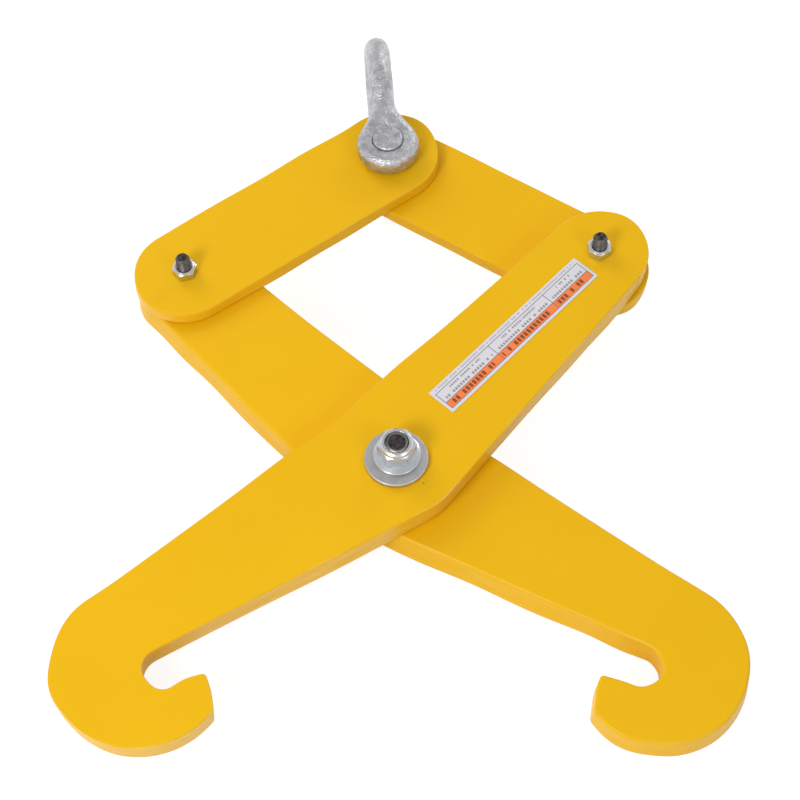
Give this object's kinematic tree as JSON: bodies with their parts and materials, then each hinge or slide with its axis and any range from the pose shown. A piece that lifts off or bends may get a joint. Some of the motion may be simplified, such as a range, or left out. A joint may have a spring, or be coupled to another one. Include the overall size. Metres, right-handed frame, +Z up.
{
  "type": "beam tongs",
  "caption": "Scissor beam tongs: two crossed hook arms on a centre bolt, with two links up to a screw-pin shackle; lifting the shackle closes the hooks on a beam's flange.",
  "frame": {"origin": "bottom centre of the box round the tongs as they lie on the floor", "axes": "+Y from the hooks to the shackle, +X to the right as the nuts are seen from above, +Z up"},
  "size_m": [0.3644, 0.4692, 0.0886],
  "materials": {
    "yellow_paint": "gloss enamel over flame-cut steel plate",
    "bright_zinc": "bright zinc plate",
    "bolt_steel": "darkened plain steel, cut threads",
    "galvanised": "hot-dip galvanised, mottled",
    "nylon": "dark nylon locking ring",
    "decal_film": "blank printed vinyl film"
  },
  "bodies": {
    "centre_pivot": {"centre_bolt": "bolt_steel", "centre_front_washer": "bright_zinc", "centre_rear_washer": "bright_zinc", "centre_nut": "bright_zinc", "centre_nut_insert": "nylon"},
    "front_arm": {"front_arm": "yellow_paint", "blank_decal": "decal_film", "right_link_bolt": "bolt_steel", "right_link_nut": "bright_zinc", "right_link_nut_insert": "nylon"},
    "rear_arm": {"rear_arm": "yellow_paint", "left_link_bolt": "bolt_steel", "left_link_nut": "bright_zinc", "left_link_nut_insert": "nylon"},
    "front_link": {"front_link": "yellow_paint"},
    "rear_link": {"rear_link": "yellow_paint"},
    "shackle": {"shackle_bow": "galvanised", "shackle_pin": "galvanised"}
  },
  "joints": [
    {"name": "front_arm_swing", "type": "hinge", "parent": "centre_pivot", "child": "front_arm", "pos_m": [-0.00024, -0.07179, 0.02868], "axis": [-0.0376, -0.1051, 0.9938], "range_deg": [-6, 30]},
    {"name": "rear_arm_swing", "type": "hinge", "parent": "centre_pivot", "child": "rear_arm", "pos_m": [-0.00024, -0.07179, 0.02868], "axis": [-0.0376, -0.1051, 0.9938], "range_deg": [-30, 6]},
    {"name": "front_link_swing", "type": "hinge", "parent": "rear_arm", "child": "front_link", "pos_m": [-0.1211, 0.06126, 0.03819], "axis": [-0.0376, -0.1051, 0.9938], "range_deg": [-14.28, 71.4]},
    {"name": "rear_link_swing", "type": "hinge", "parent": "front_arm", "child": "rear_link", "pos_m": [0.12011, 0.06085, 0.04665], "axis": [-0.0376, -0.1051, 0.9938], "range_deg": [-71.4, 14.28]},
    {"name": "shackle_swing", "type": "hinge", "parent": "front_link", "child": "shackle", "pos_m": [-0.00097, 0.14191, 0.0593], "axis": [-0.0376, -0.1051, 0.9938], "range_deg": [-70, 70]}
  ],
  "couplings": [
    {"joint": "rear_arm_swing", "follows": "front_arm_swing", "ratio": -1},
    {"joint": "front_link_swing", "follows": "front_arm_swing", "ratio": 2.38},
    {"joint": "rear_link_swing", "follows": "front_arm_swing", "ratio": -2.38}
  ]
}
